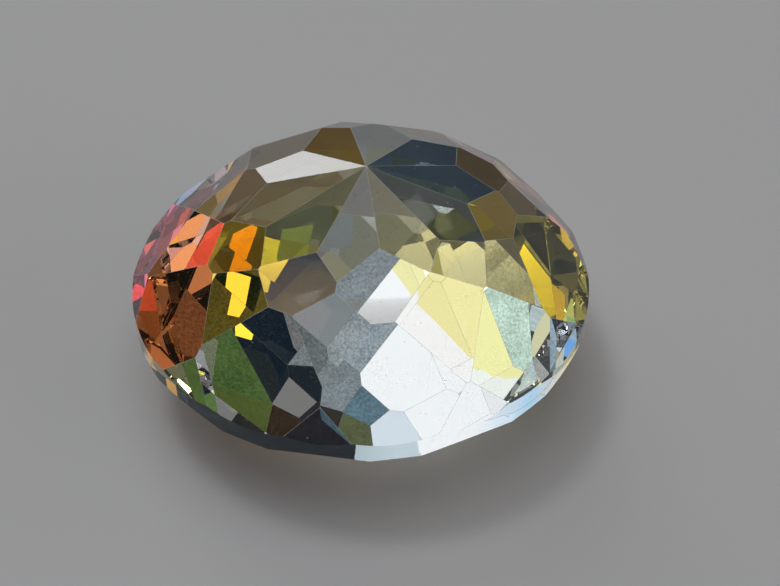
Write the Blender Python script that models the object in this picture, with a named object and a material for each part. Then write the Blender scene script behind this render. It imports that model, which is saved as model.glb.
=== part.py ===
"""A large round stone of clear rainbow-coated quartz, cut and polished.

The stone rests on its table, the flat facet of its shallow side, with the point of its
deep side up. It is cut as a gem cutter works: facets are ground in tiers of ten, round a
cylindrical blank, and every facet is one flat plane.

Frame: metres, +Z up, origin at the middle of the girdle on the surface that the stone
rests on. Facets are numbered clockwise seen from above, and facet 0 faces -Y.
"""

import math

import bmesh
import bpy
from mathutils import Matrix, Vector

# Driving sizes of the finished stone, in metres.
DIAMETER = 0.0200
CROWN_HEIGHT = 0.00374  # from the table up to the girdle
GIRDLE_HEIGHT = 0.00052  # the polished band, where the girdle is thinnest
PAVILION_HEIGHT = 0.00663  # from the girdle up to the point
GIRDLE_BOTTOM = CROWN_HEIGHT
GIRDLE_TOP = GIRDLE_BOTTOM + GIRDLE_HEIGHT
STONE_HEIGHT = GIRDLE_TOP + PAVILION_HEIGHT
RADIUS = DIAMETER / 2
BLANK_SIDES = 120  # one side for every 3 degrees of the rounded girdle

# The cutting pattern: ten facets to a tier, and the heading of facet 0, from +X.
FACETS_PER_TIER = 10
PITCH = math.tau / FACETS_PER_TIER
FIRST_FACET = math.radians(278.7)
HALF_PITCH_COS = math.cos(PITCH / 2)

# The point stands a little off the middle of the girdle, as on a stone cut by hand.
POINT_CENTRE = (0.00029, -0.00016)
GIRDLE_CENTRE = (0.0, 0.0)

# Each tier of the deep side has its slope from the horizontal in degrees and its turn, in
# facets. Its reach is how far from the axis its planes pass through the top edge of the
# girdle, as a share of the stone's radius.
POINT_SLOPE = 19.6
POINT_REACH = PAVILION_HEIGHT / RADIUS / math.tan(math.radians(POINT_SLOPE))
POINT_TIERS = (
    # slope, reach, turn, {facet: how much less deep it is ground than its tier}
    (POINT_SLOPE, POINT_REACH, 0.5, {}),
    (27.7, 1.414, 0.0, {0: -0.00009, 2: 0.00006, 4: -0.00006, 5: 0.00014}),
    (
        38.8,
        1.139,
        0.5,
        {8: -0.00007, 9: -0.00020, 0: -0.00006, 1: 0.00010, 2: 0.00013, 4: 0.00009},
    ),
)
GIRDLE_TIERS = (
    (48.3, 1.028, 0.0, {9: 0.00019, 0: -0.00005, 1: -0.00007, 5: 0.00005}),
    (60.6, 1.015, 0.5, {}),
)

# On the shallow side the corners of the table stand at this share of the stone's radius.
TABLE_CORNER = 0.60
MAIN_SLOPE = 42.9
STAR_SLOPE = 30.0
CROWN_RATIO = CROWN_HEIGHT / RADIUS
MAIN_REACH = TABLE_CORNER + CROWN_RATIO / math.tan(math.radians(MAIN_SLOPE))
STAR_REACH = TABLE_CORNER * HALF_PITCH_COS
STAR_REACH += CROWN_RATIO / math.tan(math.radians(STAR_SLOPE))
CROWN_TIERS = (
    (50.0, 0.985, 0.5, {}),
    (MAIN_SLOPE, MAIN_REACH, 0.0, {}),
    (STAR_SLOPE, STAR_REACH, 0.5, {}),
)

SLICE_MARGIN = 1.0e-7  # a plane's tolerance, far below the size of the smallest facet
UP = Vector((0.0, 0.0, 1.0))


def clear_scene():
    """Remove whatever the file opened with."""
    for leftover in list(bpy.data.objects):
        bpy.data.objects.remove(leftover, do_unlink=True)


def round_blank():
    """The blank: an upright cylinder with the height of the finished stone."""
    stone = bmesh.new()
    bmesh.ops.create_cone(
        stone,
        cap_ends=True,
        cap_tris=False,
        segments=BLANK_SIDES,
        radius1=RADIUS,
        radius2=RADIUS,
        depth=STONE_HEIGHT,
        matrix=Matrix.Translation((0.0, 0.0, STONE_HEIGHT / 2)),
    )
    return stone


def grind_facet(stone, point, outward):
    """Cut away everything beyond one plane and close the cut with one flat facet."""
    everything = stone.verts[:] + stone.edges[:] + stone.faces[:]
    cut = bmesh.ops.bisect_plane(
        stone,
        geom=everything,
        dist=SLICE_MARGIN,
        plane_co=point,
        plane_no=outward,
        clear_outer=True,
    )
    rim = [item for item in cut["geom_cut"] if isinstance(item, bmesh.types.BMEdge)]
    open_rim = [edge for edge in rim if edge.is_valid and edge.is_boundary]
    if open_rim:
        bmesh.ops.contextual_create(stone, geom=open_rim)


def grind_tier(stone, tier, centre, level, side):
    """Cut one tier round centre; side is 1 above the girdle and -1 below it."""
    slope, reach, turn, uneven = tier
    tilt = math.radians(slope)
    for number in range(FACETS_PER_TIER):
        heading = FIRST_FACET - (number + turn) * PITCH
        across = Vector((math.cos(heading), math.sin(heading), 0.0))
        outward = across * math.sin(tilt) + UP * side * math.cos(tilt)
        point = across * reach * RADIUS + Vector((*centre, level))
        point += UP * side * uneven.get(number, 0.0)
        grind_facet(stone, point, outward)


def clear_quartz():
    """Clear stone with a warm tint, polished all over."""
    material = bpy.data.materials.new("clear_quartz")
    material.use_nodes = True
    shader = material.node_tree.nodes["Principled BSDF"]
    shader.inputs["Base Color"].default_value = (0.93, 0.91, 0.84, 1.0)
    shader.inputs["Roughness"].default_value = 0.0
    shader.inputs["Metallic"].default_value = 0.0
    shader.inputs["IOR"].default_value = 1.544
    shader.inputs["Transmission Weight"].default_value = 1.0
    return material


def cut_stone():
    """Cut the whole stone and return its object."""
    stone = round_blank()
    for tier in POINT_TIERS:
        grind_tier(stone, tier, POINT_CENTRE, GIRDLE_TOP, 1)
    for tier in GIRDLE_TIERS:
        grind_tier(stone, tier, GIRDLE_CENTRE, GIRDLE_TOP, 1)
    for tier in CROWN_TIERS:
        grind_tier(stone, tier, GIRDLE_CENTRE, GIRDLE_BOTTOM, -1)
    bmesh.ops.recalc_face_normals(stone, faces=stone.faces)
    mesh = bpy.data.meshes.new("quartz_stone")
    stone.to_mesh(mesh)
    stone.free()
    mesh.materials.append(clear_quartz())
    return bpy.data.objects.new("quartz_stone", mesh)


def main():
    clear_scene()
    collection = bpy.data.collections.new("rainbow_quartz")
    bpy.context.scene.collection.children.link(collection)
    collection.objects.link(cut_stone())


main()
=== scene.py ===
"""Looks of the rainbow quartz: clear coated stone on a plain pale floor in soft studio light."""
import math

import bmesh
import bpy
from mathutils import Matrix, Vector


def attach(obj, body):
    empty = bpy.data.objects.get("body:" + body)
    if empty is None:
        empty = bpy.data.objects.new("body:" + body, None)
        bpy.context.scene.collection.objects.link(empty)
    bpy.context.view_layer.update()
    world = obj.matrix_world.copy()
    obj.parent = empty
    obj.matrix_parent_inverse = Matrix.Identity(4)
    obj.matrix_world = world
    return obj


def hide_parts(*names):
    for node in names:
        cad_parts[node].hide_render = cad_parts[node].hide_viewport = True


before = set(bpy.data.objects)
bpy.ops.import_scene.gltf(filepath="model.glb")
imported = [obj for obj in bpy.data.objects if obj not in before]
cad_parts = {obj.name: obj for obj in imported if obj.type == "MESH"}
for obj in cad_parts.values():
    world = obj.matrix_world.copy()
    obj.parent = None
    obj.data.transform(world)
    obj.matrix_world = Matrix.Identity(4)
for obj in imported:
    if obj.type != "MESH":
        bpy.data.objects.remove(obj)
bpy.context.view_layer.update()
cad_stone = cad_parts["quartz_stone"]
scene = bpy.context.scene

# The stone, in metres and degrees. Facets are numbered clockwise seen from above.
RADIUS = 0.010
GIRDLE_TOP = 0.00426
FIRST_FACET = 278.7  # the heading of facet 0, anticlockwise from +X
QUARTZ_IOR = 1.544

# The wear of its edges and how its own facets are told apart.
WEAR = 0.000006  # how far an edge is worn back on each side, in metres
SAME_POINT = 1.0e-7  # corners nearer than this are one corner
SAME_PLANE = 0.2  # faces that meet at less than this many degrees are one facet
SHARP_EDGE = 4.5  # edges between facets bend by more than this many degrees
STEEPEST_FACET = 0.3  # the girdle's normals lie flatter than this, and no other facet's do
ROUND_BAND = 0.02  # the girdle's normals are level within this

# Colours of the coating, as light is tinted by two crossings of it. Laid facet by facet and in
# patches on the table, they also hold painted reflected light and painted shade.
CLEAR = (0.94, 0.95, 0.94)
ICE = (0.88, 0.95, 1.00)
SKY = (0.50, 0.72, 0.98)
AZURE = (0.22, 0.58, 1.00)
BLUE = (0.10, 0.30, 0.85)
NAVY = (0.060, 0.13, 0.26)
STEEL = (0.50, 0.60, 0.70)
SLATE = (0.24, 0.31, 0.33)
SMOKE = (0.20, 0.22, 0.24)
PALE_GREEN = (0.84, 0.97, 0.86)
MOSS = (0.66, 0.66, 0.27)
OLIVE = (0.36, 0.38, 0.09)
SAND = (0.80, 0.78, 0.64)
STRAW = (1.00, 0.93, 0.45)
HONEY = (1.00, 0.72, 0.16)
YELLOW = (1.00, 0.80, 0.030)
GOLD = (1.00, 0.55, 0.002)
TAN = (0.92, 0.66, 0.24)
AMBER = (0.80, 0.36, 0.030)
UMBER = (0.36, 0.23, 0.075)
COFFEE = (0.22, 0.10, 0.008)
APRICOT = (0.88, 0.50, 0.15)
PEACH = (1.00, 0.62, 0.30)
SALMON = (1.00, 0.24, 0.11)
EMBER = (1.00, 0.10, 0.004)
ROSE = (1.00, 0.045, 0.13)
MAUVE = (0.56, 0.42, 0.47)
FADED_OLIVE = (0.62, 0.60, 0.30)
FADED_MAUVE = (0.55, 0.47, 0.36)
FADED_BLUE = (0.60, 0.68, 0.66)

# One rainbow round each tier, from facet 0 clockwise: (name, lowest height of the facet's
# normal, share of a facet that the tier is turned, its colours).
# The tier colours are the coating's and, in part, painted reflected light and painted shade, set facet by
# facet.
TIERS = (
    ("point kites", 0.914, 0.5,
     (ICE, MOSS, TAN, CLEAR, AMBER, STEEL, NAVY, NAVY, SLATE, STRAW)),
    ("upper kites", 0.830, 0.0,
     (ICE, MAUVE, GOLD, PEACH, UMBER, CLEAR, CLEAR, UMBER, OLIVE, STRAW)),
    ("broad facets", 0.720, 0.5,
     (CLEAR, GOLD, SALMON, MAUVE, CLEAR, CLEAR, MAUVE, COFFEE, STRAW, CLEAR)),
    ("lower kites", 0.580, 0.0,
     (ICE, CLEAR, EMBER, ROSE, UMBER, CLEAR, CLEAR, APRICOT, YELLOW, PALE_GREEN)),
    ("edge facets", 0.250, 0.5,
     (SLATE, OLIVE, ROSE, SMOKE, SAND, CLEAR, CLEAR, APRICOT, SKY, ICE)),
    ("girdle", -0.300, 0.0,
     (ICE, SLATE, SLATE, SLATE, STRAW, SALMON, SKY, CLEAR, CLEAR, CLEAR,
      CLEAR, CLEAR, CLEAR, CLEAR, STRAW, SKY, BLUE, HONEY, AZURE, ICE)),
)
CROWN_TINT = (0.86, 0.84, 0.80)
# The table shows faint painted patches of light and shade, for the floor lit through the stone
# and seen through the table, and its normal is the only one below TABLE_HEIGHT.
TABLE_PAINTED_TINTS = (CLEAR, STRAW, FADED_OLIVE, CLEAR, FADED_MAUVE, CLEAR, FADED_BLUE)
TABLE_HEIGHT = -0.93
TABLE_PATCHES = 430.0  # patches in a metre

# What lies on the polish: cells of each pattern in a metre, and how much of the polish the
# pattern hides where it is thickest.
FILM_GRAINS, FILM_DRIFTS, FILM_HIDES = 7000.0, 330.0, 0.045
SPECKS, SPECK_HIDES = 1300.0, 0.25
SCRATCHES, SCRATCH_BREAKS, SCRATCH_HIDES = 420.0, 500.0, 0.10
SCRATCH_TURN = (0.4, 0.3, 0.7)
SCRATCH_STRETCH = (1.0, 0.22, 1.0)
FROST_GRAINS = 900.0
POWDER = (0.85, 0.85, 0.83)
FROST = (0.88, 0.88, 0.86)
WORN_TINT = (0.96, 0.96, 0.94)
WORN_ROUGHNESS = 0.3

# The floor, the lights and the room, in metres. A light's strength is its radiance.
FLOOR_SIZE = 2.0
FLOOR_DROP = 0.00002
FLOOR_COLOUR = (0.70, 0.70, 0.715)
OVERHEAD_SIZE, OVERHEAD_HEIGHT, OVERHEAD_RADIANCE = 1.65, 1.5, 0.85
KEY_SIZE, KEY_DISTANCE, KEY_RADIANCE = 0.34, 1.45, 5.2
KEY_HEADING, KEY_ELEVATION = -52.0, 68.0
ROOM_COLOUR = (0.006, 0.013, 0.022)

# The camera, matched to the photo: pixels of its 780 by 586 frame, and degrees.
FRAME_WIDTH, FRAME_HEIGHT = 780, 586
FOCAL_PIXELS = 1600.0
STONE_X, STONE_Y = 361.05, 282.92  # where the middle of the girdle's top edge is seen
STONE_RADIUS_PIXELS = 226.35
CAMERA_PITCH = 42.23
SENSOR_WIDTH = 36.0  # millimetres

COLOUR_MIX_SOCKETS = (0, 6, 7)  # a Mix node's factor and two colours


def glass_nodes(material):
    """The node tree of clear quartz, with its constants on the shader's own sockets."""
    material.use_nodes = True
    tree = material.node_tree
    shader = tree.nodes["Principled BSDF"]
    shader.inputs["IOR"].default_value = QUARTZ_IOR
    shader.inputs["Transmission Weight"].default_value = 1.0
    shader.inputs["Roughness"].default_value = 0.0
    return tree, shader


def node(tree, kind, **settings):
    """A new node with its settings."""
    made = tree.nodes.new(kind)
    for key, value in settings.items():
        setattr(made, key, value)
    return made


def feed(tree, socket, value):
    """Give a socket a number, a colour or another node's output."""
    if isinstance(value, (int, float)):
        socket.default_value = value
    elif isinstance(value, tuple):
        socket.default_value = (*value, 1.0)
    else:
        tree.links.new(value, socket)


def math_node(tree, operation, *values):
    """The result of a sum, with numbers or outputs as its values."""
    made = node(tree, "ShaderNodeMath", operation=operation)
    for socket, value in zip(made.inputs, values):
        feed(tree, socket, value)
    return made.outputs[0]


def mix_colour(tree, factor, first, second):
    """first where factor is 0 and second where it is 1."""
    made = node(tree, "ShaderNodeMix", data_type="RGBA")
    for number, value in zip(COLOUR_MIX_SOCKETS, (factor, first, second)):
        feed(tree, made.inputs[number], value)
    return made.outputs[2]


def mix_shaders(tree, factor, first, second):
    """Blend two shaders by factor and make them the material's surface."""
    both = node(tree, "ShaderNodeMixShader")
    tree.links.new(factor, both.inputs[0])
    tree.links.new(first.outputs[0], both.inputs[1])
    tree.links.new(second.outputs[0], both.inputs[2])
    tree.links.new(both.outputs[0], tree.nodes["Material Output"].inputs["Surface"])


def powdery(tree, colour):
    """A matt shader of one colour."""
    shader = node(tree, "ShaderNodeBsdfDiffuse")
    feed(tree, shader.inputs["Color"], colour)
    return shader


def own_place(tree):
    """The object's own coordinates."""
    return node(tree, "ShaderNodeTexCoord").outputs["Object"]


def fade(tree, value, low, high):
    """0 at low, 1 at high, straight between them and level beyond."""
    made = node(tree, "ShaderNodeMapRange")
    made.inputs["From Min"].default_value = low
    made.inputs["From Max"].default_value = high
    tree.links.new(value, made.inputs["Value"])
    return made.outputs["Result"]


def noise(tree, place, scale, detail):
    """Soft irregular clouds, scale of them in a metre."""
    made = node(tree, "ShaderNodeTexNoise")
    made.inputs["Scale"].default_value = scale
    made.inputs["Detail"].default_value = detail
    tree.links.new(place, made.inputs["Vector"])
    return made.outputs["Fac"]


def cells(tree, place, scale, feature):
    """How far each place is from its cell's feature, with scale cells in a metre."""
    made = node(tree, "ShaderNodeTexVoronoi", feature=feature)
    made.inputs["Scale"].default_value = scale
    tree.links.new(place, made.inputs["Vector"])
    return made.outputs["Distance"]


def ring_ramp(tree, place, turn, colours, blend="LINEAR"):
    """A colour for each heading: one stop a facet, closed into a ring."""
    ramp = node(tree, "ShaderNodeValToRGB")
    stops = ramp.color_ramp.elements
    ramp.color_ramp.interpolation = blend
    count = len(colours)
    marks = [((number + turn) / count, colour) for number, colour in enumerate(colours)]
    seam = [(a + b) / 2 for a, b in zip(colours[0], colours[-1])] if turn else colours[0]
    marks = [mark for mark in marks if 0.0 < mark[0] < 1.0]
    marks = [(0.0, seam), *marks, (1.0, seam)]
    while len(stops) < len(marks):
        stops.new(0.5)
    for stop, (position, colour) in zip(stops, marks):
        stop.position = position
        stop.color = (*colour, 1.0)
    tree.links.new(place, ramp.inputs[0])
    return ramp.outputs[0]


def painted_table_patches(tree):
    """The faint painted patches of light and shade on the table, for the floor seen through it."""
    patches = node(tree, "ShaderNodeTexVoronoi")
    patches.inputs["Scale"].default_value = TABLE_PATCHES
    tree.links.new(own_place(tree), patches.inputs["Vector"])
    pick = node(tree, "ShaderNodeSeparateColor")
    tree.links.new(patches.outputs["Color"], pick.inputs[0])
    return ring_ramp(tree, pick.outputs[0], 0.0, TABLE_PAINTED_TINTS, "CONSTANT")


def outward_normal(tree):
    """The three shares of the facet's own outward normal, the same from both of its sides."""
    facing = node(tree, "ShaderNodeTexCoord").outputs["Normal"]
    behind = node(tree, "ShaderNodeNewGeometry").outputs["Backfacing"]
    sign = math_node(tree, "MULTIPLY_ADD", behind, -2.0, 1.0)
    outward = node(tree, "ShaderNodeVectorMath", operation="SCALE")
    tree.links.new(facing, outward.inputs[0])
    tree.links.new(sign, outward.inputs["Scale"])
    split = node(tree, "ShaderNodeSeparateXYZ")
    tree.links.new(outward.outputs[0], split.inputs[0])
    return split.outputs


def coating_and_painted_light(tree):
    """The coating's colour from the way a facet faces, read tier by tier, with painted reflected light
    and painted shade in the tints.
    """
    east, north, height = outward_normal(tree)
    heading = math_node(tree, "ARCTAN2", north, east)
    turns = math_node(tree, "MULTIPLY", heading, -1.0 / math.tau)
    turns = math_node(tree, "ADD", turns, FIRST_FACET / 360.0)
    place = math_node(tree, "FRACT", turns)
    on_table = math_node(tree, "LESS_THAN", height, TABLE_HEIGHT)
    # On the table the colour is painted patches of light and shade.
    colour = mix_colour(tree, on_table, CROWN_TINT, painted_table_patches(tree))
    for name, lowest, turn, colours in reversed(TIERS):
        ramp = ring_ramp(tree, place, turn, colours)
        above = math_node(tree, "GREATER_THAN", height, lowest)
        colour = mix_colour(tree, above, colour, ramp)
    return colour


def dust(tree):
    """How much of the polish is hidden: fine dust in drifts, single specks and scratches."""
    place = own_place(tree)
    grain = fade(tree, noise(tree, place, FILM_GRAINS, detail=3.0), low=0.47, high=0.72)
    drift = fade(tree, noise(tree, place, FILM_DRIFTS, detail=1.0), low=0.38, high=0.66)
    film = math_node(tree, "MULTIPLY", grain, drift)
    film = math_node(tree, "MULTIPLY", film, FILM_HIDES)
    speck = fade(tree, cells(tree, place, SPECKS, "F1"), low=0.070, high=0.045)
    speck = math_node(tree, "MULTIPLY", speck, SPECK_HIDES)
    stretched = node(tree, "ShaderNodeMapping")
    stretched.inputs["Rotation"].default_value = SCRATCH_TURN
    stretched.inputs["Scale"].default_value = SCRATCH_STRETCH
    tree.links.new(place, stretched.inputs["Vector"])
    line = cells(tree, stretched.outputs["Vector"], SCRATCHES, "DISTANCE_TO_EDGE")
    line = fade(tree, line, low=0.0055, high=0.0025)
    broken = fade(tree, noise(tree, place, SCRATCH_BREAKS, detail=1.0), low=0.58, high=0.66)
    line = math_node(tree, "MULTIPLY", line, broken)
    line = math_node(tree, "MULTIPLY", line, SCRATCH_HIDES)
    hidden = math_node(tree, "MAXIMUM", film, speck)
    return math_node(tree, "MAXIMUM", hidden, line)


def coated_quartz():
    """The polished facets: clear quartz tinted by its coating and by painted reflected light and shade,
    with a little dust.
    """
    material = bpy.data.materials.new("coated_quartz")
    tree, shader = glass_nodes(material)
    # The base colour carries the coating together with painted reflected light and painted shade.
    tree.links.new(coating_and_painted_light(tree), shader.inputs["Base Color"])
    mix_shaders(tree, dust(tree), shader, powdery(tree, POWDER))
    return material


def worn_edge():
    """The fine flats worn along the edges between facets: the same stone, frosted."""
    material = bpy.data.materials.new("worn_edge")
    tree, shader = glass_nodes(material)
    feed(tree, shader.inputs["Base Color"], WORN_TINT)
    shader.inputs["Roughness"].default_value = WORN_ROUGHNESS
    worn = fade(tree, noise(tree, own_place(tree), FROST_GRAINS, detail=2.0), low=0.20, high=0.60)
    mix_shaders(tree, worn, shader, powdery(tree, FROST))
    return material


def between_facets(edge):
    """Whether an edge is a sharp one between two facets, and not one of the girdle's."""
    if len(edge.link_faces) != 2 or edge.calc_face_angle() <= math.radians(SHARP_EDGE):
        return False
    return all(abs(face.normal.z) > STEEPEST_FACET for face in edge.link_faces)


def dressed_stone():
    """The stone with every edge between facets worn to a fine flat."""
    mesh = bmesh.new()
    mesh.from_mesh(cad_stone.data)
    bmesh.ops.remove_doubles(mesh, verts=mesh.verts, dist=SAME_POINT)
    bmesh.ops.dissolve_limit(
        mesh, angle_limit=math.radians(SAME_PLANE), verts=mesh.verts, edges=mesh.edges
    )
    bmesh.ops.bevel(
        mesh,
        geom=[edge for edge in mesh.edges if between_facets(edge)],
        offset=WEAR,
        offset_type="OFFSET",
        segments=1,
        profile=0.5,
        affect="EDGES",
        clamp_overlap=False,
        material=1,
    )
    for face in mesh.faces:
        face.smooth = abs(face.normal.z) < ROUND_BAND
    data = bpy.data.meshes.new("cut_quartz")
    mesh.to_mesh(data)
    mesh.free()
    data.materials.append(coated_quartz())
    data.materials.append(worn_edge())
    piece = bpy.data.objects.new("cut_quartz", data)
    scene.collection.objects.link(piece)
    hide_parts("quartz_stone")
    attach(piece, "root")


def pale_floor():
    """A plain pale floor, a hair below the table so that the two don't flicker."""
    bpy.ops.mesh.primitive_plane_add(size=FLOOR_SIZE, location=(0, 0, -FLOOR_DROP))
    floor = bpy.context.object
    floor.name = "floor"
    material = bpy.data.materials.new("pale_floor")
    material.use_nodes = True
    tree = material.node_tree
    shader = tree.nodes["Principled BSDF"]
    feed(tree, shader.inputs["Base Color"], FLOOR_COLOUR)
    shader.inputs["Roughness"].default_value = 0.8
    shader.inputs["Specular IOR Level"].default_value = 0.2
    floor.data.materials.append(material)


# Softboxes and reflector cards round the stone, as panels seen from it. Headings are in
# degrees from +Y to +X, heights are degrees up from the floor.
WHITE = (1.0, 1.0, 1.0)
COOL = (0.80, 0.93, 1.0)
PALE_BLUE = (0.85, 0.95, 1.0)
PALE_MINT = (0.78, 1.0, 0.90)
PALE_LILAC = (0.9, 0.75, 1.0)
PALE_PINK = (1.0, 0.90, 0.90)
DEEP = (0.45, 0.80, 1.0)
LAPIS = (0.25, 0.55, 1.0)
WARM = (1.0, 0.93, 0.44)
CREAM = (1.0, 0.95, 0.66)
WHEAT = (1.0, 0.84, 0.4)
MAIZE = (1.0, 0.85, 0.30)
LEAF = (0.55, 1.0, 0.28)
LIME = (0.62, 0.80, 0.05)
LEMON = (1.0, 0.80, 0.06)
CANARY = (1.0, 0.78, 0.08)
COPPER = (1.0, 0.52, 0.14)
BRONZE = (1.0, 0.50, 0.16)
FLAME = (1.0, 0.36, 0.02)
BLUSH = (1.0, 0.42, 0.36)
CORAL = (1.0, 0.22, 0.16)
SCARLET = (1.0, 0.16, 0.09)
PLAIN, MOTTLED = False, True
CARD_DISTANCE = 1.5
CARD_STEP = 5.0  # a card is bent round the stone in steps of at most this many degrees
PANEL_DISTANCE = 1.46  # the small panels stand just in front of the cards
CARDS = (
    # name, left, right, bottom, top, radiance, colour, finish
    ("window", -22.5, -5.0, 17.0, 48.9, 1.03, WHITE, PLAIN),
    ("window_tip", -10.5, -5.0, 48.9, 50.8, 1.03, WHITE, PLAIN),
    ("window_low", -31.0, -22.5, 13.5, 36.5, 0.95, WHITE, PLAIN),
    ("window_left", -57.0, -31.0, 13.5, 26.5, 0.95, WHITE, PLAIN),
    ("window_warm", -31.0, -22.5, 36.5, 48.9, 1.02, WARM, PLAIN),
    ("window_high", -21.6, -17.5, 48.9, 52.0, 2.3, CREAM, PLAIN),
    ("window_top", -14.6, -10.6, 51.85, 53.5, 2.3, CREAM, PLAIN),
    ("window_notch", -23.2, -20.4, 53.0, 55.6, 1.0, WARM, PLAIN),
    ("window_corner", -38.5, -25.0, 49.2, 53.1, 2.3, CREAM, PLAIN),
    ("beige_low", -34.5, -31.2, 44.6, 46.5, 0.55, CREAM, MOTTLED),
    ("beige_high", -34.5, -31.2, 46.5, 49.1, 0.85, CREAM, MOTTLED),
    ("left_card", -47.0, -36.0, 36.0, 44.0, 0.72, PALE_MINT, MOTTLED),
    ("beige_left", -51.0, -48.0, 39.0, 43.8, 0.46, CREAM, MOTTLED),
    ("beige_left_high", -51.0, -48.0, 43.8, 50.0, 0.85, CREAM, MOTTLED),
    ("beige_left_top", -50.5, -46.5, 55.0, 58.5, 0.50, CREAM, MOTTLED),
    ("yellow_strip", -53.2, -51.05, 42.0, 47.0, 2.2, CANARY, PLAIN),
    ("left_high", -80.0, -60.0, 38.0, 52.0, 0.70, COOL, MOTTLED),
    ("left_mid", -82.0, -70.8, 26.5, 35.0, 0.60, COOL, MOTTLED),
    ("left_blue", -70.8, -63.0, 29.0, 35.0, 0.90, LAPIS, PLAIN),
    ("left_slate", -43.2, -39.4, 32.4, 35.9, 0.50, COOL, MOTTLED),
    ("left_low", -68.0, -57.5, 0.8, 13.0, 0.75, CREAM, PLAIN),
    ("low_strip", -26.0, -13.0, 8.5, 15.0, 4.0, WHITE, PLAIN),
    ("back_card_high", -4.5, 9.5, 50.5, 58.0, 0.26, COOL, MOTTLED),
    ("back_card", 3.5, 10.0, 45.8, 50.4, 0.27, PALE_BLUE, PLAIN),
    ("back_card_left", -4.8, 0.5, 41.5, 47.0, 0.36, COOL, MOTTLED),
    ("back_card_mid", -4.8, 7.5, 36.5, 41.0, 0.26, COOL, MOTTLED),
    ("back_card_low", -4.8, 3.0, 25.0, 36.0, 0.22, DEEP, MOTTLED),
    ("girdle_card", -5.2, 3.0, 17.0, 23.0, 0.75, COOL, PLAIN),
    ("dim_card", 4.0, 16.5, 24.5, 33.2, 0.035, PALE_LILAC, MOTTLED),
    ("right_card", 10.5, 14.5, 33.5, 36.5, 0.20, WHITE, PLAIN),
    ("right_card_high", 11.5, 14.6, 40.4, 43.3, 0.17, COOL, MOTTLED),
    ("right_card_low", 20.0, 26.0, 24.0, 28.0, 0.20, LEAF, MOTTLED),
    ("gold_card", 19.0, 31.0, 40.8, 49.5, 0.10, WHITE, MOTTLED),
    ("gold_card_high", 23.6, 31.0, 49.5, 55.0, 0.10, WHITE, MOTTLED),
    ("side_card", 41.0, 48.0, 35.5, 42.0, 0.17, WHITE, MOTTLED),
    ("side_card_low", 32.0, 42.0, 27.5, 35.0, 0.18, LEAF, MOTTLED),
    ("right_strip", 74.0, 91.0, 11.0, 26.0, 1.10, WHITE, PLAIN),
    ("right_strip_low", 109.0, 126.0, 0.5, 8.0, 1.05, WHITE, PLAIN),
    ("right_wall", 100.0, 126.0, 8.0, 30.0, 0.95, WHITE, PLAIN),
    ("right_bridge", 90.9, 100.2, 17.0, 30.0, 1.0, WHITE, PLAIN),
    ("right_gap", 90.4, 93.4, 2.4, 5.3, 1.05, WHITE, PLAIN),
    ("right_floor", 98.0, 109.0, -0.3, 3.5, 1.0, WHITE, PLAIN),
    ("rim_card", 38.0, 43.3, 11.5, 25.5, 0.85, COPPER, PLAIN),
    ("ember_card", 43.8, 50.5, 15.5, 24.0, 0.45, PALE_PINK, PLAIN),
    ("right_panel", 56.0, 132.0, 33.0, 66.0, 0.20, WHITE, PLAIN),
    ("front_panel", 140.0, 188.0, 35.0, 56.0, 0.22, WHITE, PLAIN),
    ("front_amber", 196.5, 202.0, 56.5, 61.0, 0.95, MAIZE, PLAIN),
    ("front_coral", 132.5, 138.5, 29.5, 33.0, 1.6, CORAL, PLAIN),
    ("front_rose", 158.5, 165.0, 31.5, 34.9, 1.0, BLUSH, PLAIN),
)
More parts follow.
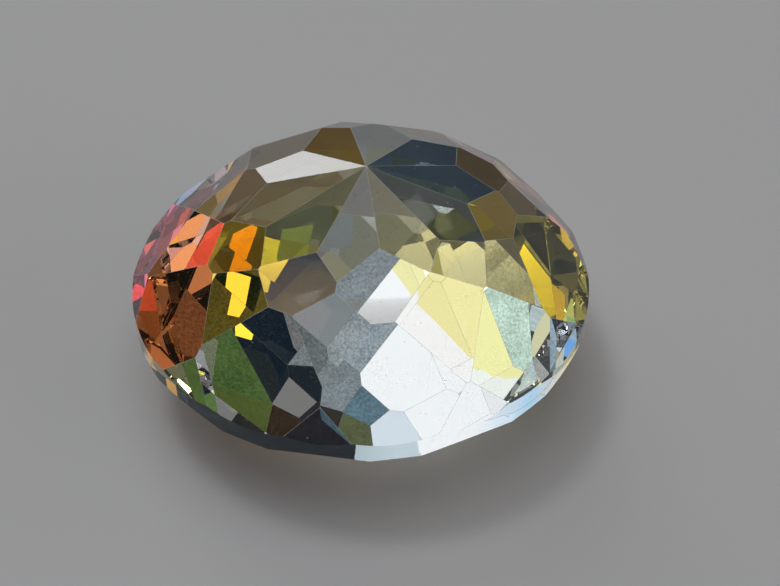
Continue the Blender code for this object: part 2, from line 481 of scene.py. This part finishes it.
PANELS = (
    # name, radiance, colour, finish, corners
    ("warm_edge", 0.97, WARM, PLAIN,
     ((-16.2, 41.4), (-12.4, 41.4), (-12.4, 46.2), (-14.05, 44.5), (-14.95, 43.5), (-16.2, 42.2))),
    ("warm_tip", 0.97, WARM, PLAIN,
     ((-8.3, 46.0), (-5.0, 46.0), (-5.0, 50.8), (-6.5, 50.8), (-6.9, 48.8), (-7.0, 48.1), (-8.3, 46.7))),
    ("white_corner", 1.0, WHITE, PLAIN,
     ((-26.7, 41.1), (-25.5, 41.55), (-25.1, 42.0), (-25.1, 42.9), (-26.7, 42.9))),
    ("warm_nook", 1.0, WARM, PLAIN, ((-21.7, 48.8), (-20.2, 48.8), (-20.2, 50.3), (-21.7, 50.3))),
    ("warm_low", 0.97, WARM, PLAIN, ((-28.3, 31.2), (-26.4, 31.2), (-26.4, 32.1), (-27.6, 31.75))),
    ("leaf", 0.12, LEAF, MOTTLED, ((18.5, 34.4), (19.7, 36.1), (22.3, 38.4), (22.3, 40.3), (18.5, 40.3))),
    ("bar_near", 1.35, WHEAT, PLAIN, ((21.6, 49.6), (22.9, 49.6), (23.1, 51.1), (21.9, 51.1))),
    ("bar_triangle", 5.0, LEMON, PLAIN, ((22.0, 51.5), (23.5, 51.5), (23.0, 52.7), (22.0, 52.7))),
    ("bar_top", 6.0, FLAME, PLAIN, ((27.6, 57.2), (28.9, 57.2), (28.9, 58.9), (27.6, 58.9))),
    ("bar_mid", 6.0, FLAME, PLAIN, ((33.0, 48.8), (34.1, 48.8), (34.1, 50.1), (33.0, 50.1))),
    ("bar_far", 1.35, WHEAT, PLAIN, ((28.0, 41.0), (29.1, 41.0), (28.7, 42.2), (28.1, 42.3))),
    ("bar_high", 1.9, LEMON, PLAIN, ((10.2, 53.1), (12.1, 53.1), (11.2, 54.3), (10.2, 54.6))),
    ("bar_tip", 2.4, LEMON, PLAIN, ((17.4, 45.9), (18.2, 45.9), (18.1, 46.7), (17.6, 46.7))),
    ("moss_near", 5.0, LEMON, PLAIN, ((15.4, 59.3), (16.6, 59.3), (16.6, 60.3), (15.4, 60.3))),
    ("moss", 1.3, LIME, MOTTLED, ((16.6, 58.9), (18.7, 58.4), (18.7, 59.6), (16.6, 60.3))),
    ("spark", 1.3, LEMON, PLAIN, ((19.6, 35.4), (20.7, 35.4), (20.6, 36.2), (19.8, 36.2))),
    ("grey_wedge", 0.16, WHITE, MOTTLED, ((15.2, 43.2), (17.4, 43.2), (17.4, 45.2), (16.2, 44.6))),
    ("dark_flag", 0.02, WHITE, PLAIN, ((94.0, 61.5), (108.0, 61.5), (108.0, 66.0), (94.0, 66.0))),
    ("rim_high", 0.90, BRONZE, PLAIN, ((71.5, 42.4), (78.5, 42.4), (78.5, 45.4), (71.5, 45.4))),
    ("red_wedge", 0.55, WHITE, PLAIN, ((37.8, 44.6), (39.4, 44.6), (39.1, 46.7), (38.3, 47.8))),
    ("red_high", 6.0, SCARLET, PLAIN, ((49.6, 54.0), (52.4, 54.0), (51.6, 56.6), (50.4, 56.6))),
    ("red_mid", 6.0, SCARLET, PLAIN, ((51.7, 44.2), (53.6, 44.2), (53.6, 46.0), (51.7, 46.0))),
)


def direction(heading, height):
    """The unit vector from the stone towards a heading and a height."""
    turn, rise = math.radians(heading), math.radians(height)
    return Vector((math.sin(turn) * math.cos(rise), math.cos(turn) * math.cos(rise), math.sin(rise)))


def mottling(tree, radiance):
    """A radiance that varies in fine and broad clouds, as on a rough wall."""
    place = own_place(tree)
    fine = fade(tree, noise(tree, place, scale=420.0, detail=3.0), low=0.34, high=0.70)
    broad = fade(tree, noise(tree, place, scale=40.0, detail=2.0), low=0.25, high=0.75)
    amount = math_node(tree, "MULTIPLY_ADD", broad, 0.35, 0.50)
    amount = math_node(tree, "ADD", amount, math_node(tree, "MULTIPLY", fine, 0.65))
    return math_node(tree, "MULTIPLY", amount, radiance)


def glowing(name, radiance, colour, finish):
    """The material of one card."""
    material = bpy.data.materials.new(name)
    material.use_nodes = True
    tree = material.node_tree
    tree.nodes.remove(tree.nodes["Principled BSDF"])
    glow = node(tree, "ShaderNodeEmission")
    feed(tree, glow.inputs["Color"], colour)
    feed(tree, glow.inputs["Strength"], mottling(tree, radiance) if finish is MOTTLED else radiance)
    tree.links.new(glow.outputs[0], tree.nodes["Material Output"].inputs["Surface"])
    return material


def hang(name, points, faces, distance, material):
    """A glowing panel whose points are headings and heights seen from the stone."""
    centre = Vector((0, 0, GIRDLE_TOP))
    mesh = bpy.data.meshes.new(name)
    mesh.from_pydata([centre + direction(*point) * distance for point in points], [], faces)
    mesh.materials.append(material)
    panel = bpy.data.objects.new(name, mesh)
    scene.collection.objects.link(panel)


def card(name, left, right, bottom, top, radiance, colour, finish):
    """A wide card, bent round the stone in steps of a few degrees."""
    across = max(1, math.ceil((right - left) / CARD_STEP))
    up = max(1, math.ceil((top - bottom) / CARD_STEP))
    points = [
        (left + (right - left) * n / across, bottom + (top - bottom) * m / up)
        for m in range(up + 1)
        for n in range(across + 1)
    ]
    row = across + 1
    faces = [
        (m * row + n, m * row + n + 1, (m + 1) * row + n + 1, (m + 1) * row + n)
        for m in range(up)
        for n in range(across)
    ]
    hang(name, points, faces, CARD_DISTANCE, glowing(name, radiance, colour, finish))


def cards_and_panels():
    """Every card and every small panel of the studio."""
    for row in CARDS:
        card(*row)
    for name, radiance, colour, finish, corners in PANELS:
        outline = [tuple(range(len(corners)))]
        hang(name, corners, outline, PANEL_DISTANCE, glowing(name, radiance, colour, finish))


def overhead_light():
    """A large round softbox straight above the stone."""
    light = bpy.data.lights.new("overhead", "AREA")
    light.shape = "DISK"
    light.size = OVERHEAD_SIZE
    light.energy = math.pi * OVERHEAD_RADIANCE * math.pi * (OVERHEAD_SIZE / 2) ** 2
    lamp = bpy.data.objects.new("overhead", light)
    scene.collection.objects.link(lamp)
    lamp.location = (0.0, 0.0, OVERHEAD_HEIGHT)


def key_light():
    """A smaller, brighter softbox from the left, which gives the shadow its side."""
    light = bpy.data.lights.new("key", "AREA")
    light.size = KEY_SIZE
    light.energy = math.pi * KEY_RADIANCE * KEY_SIZE ** 2
    lamp = bpy.data.objects.new("key", light)
    scene.collection.objects.link(lamp)
    lamp.location = direction(KEY_HEADING, KEY_ELEVATION) * KEY_DISTANCE
    lamp.rotation_euler = lamp.location.to_track_quat("Z", "Y").to_euler()


def dark_room():
    """A nearly black room behind the cards."""
    world = bpy.data.worlds.new("studio")
    scene.world = world
    world.use_nodes = True
    background = world.node_tree.nodes["Background"]
    feed(world.node_tree, background.inputs["Color"], ROOM_COLOUR)
    background.inputs["Strength"].default_value = 1.0


def camera():
    """The photo's camera: where it stands follows from how large the stone is seen."""
    metres_a_pixel = RADIUS / STONE_RADIUS_PIXELS
    pitch = math.radians(CAMERA_PITCH)
    ahead = Vector((0, math.cos(pitch), -math.sin(pitch)))
    right = Vector((1, 0, 0))
    up = right.cross(ahead)
    aside = right * (STONE_X - FRAME_WIDTH / 2) - up * (STONE_Y - FRAME_HEIGHT / 2)
    towards = (aside + ahead * FOCAL_PIXELS).normalized()
    place = Vector((0, 0, GIRDLE_TOP)) - towards * FOCAL_PIXELS * metres_a_pixel
    lens = bpy.data.cameras.new("camera")
    lens.sensor_width = SENSOR_WIDTH
    lens.lens = FOCAL_PIXELS / FRAME_WIDTH * SENSOR_WIDTH
    lens.clip_start = 0.001
    lens.clip_end = 10
    eye = bpy.data.objects.new("camera", lens)
    scene.collection.objects.link(eye)
    turn = Matrix((right, up, -ahead)).transposed()
    eye.matrix_world = Matrix.Translation(place) @ turn.to_4x4()
    scene.camera = eye


# Light is turned round many times inside a cut stone, so its paths are long.
scene.view_settings.view_transform = "Standard"
scene.cycles.max_bounces = 20
scene.cycles.glossy_bounces = 16
scene.cycles.transmission_bounces = 20

dressed_stone()
pale_floor()
cards_and_panels()
overhead_light()
key_light()
dark_room()
camera()
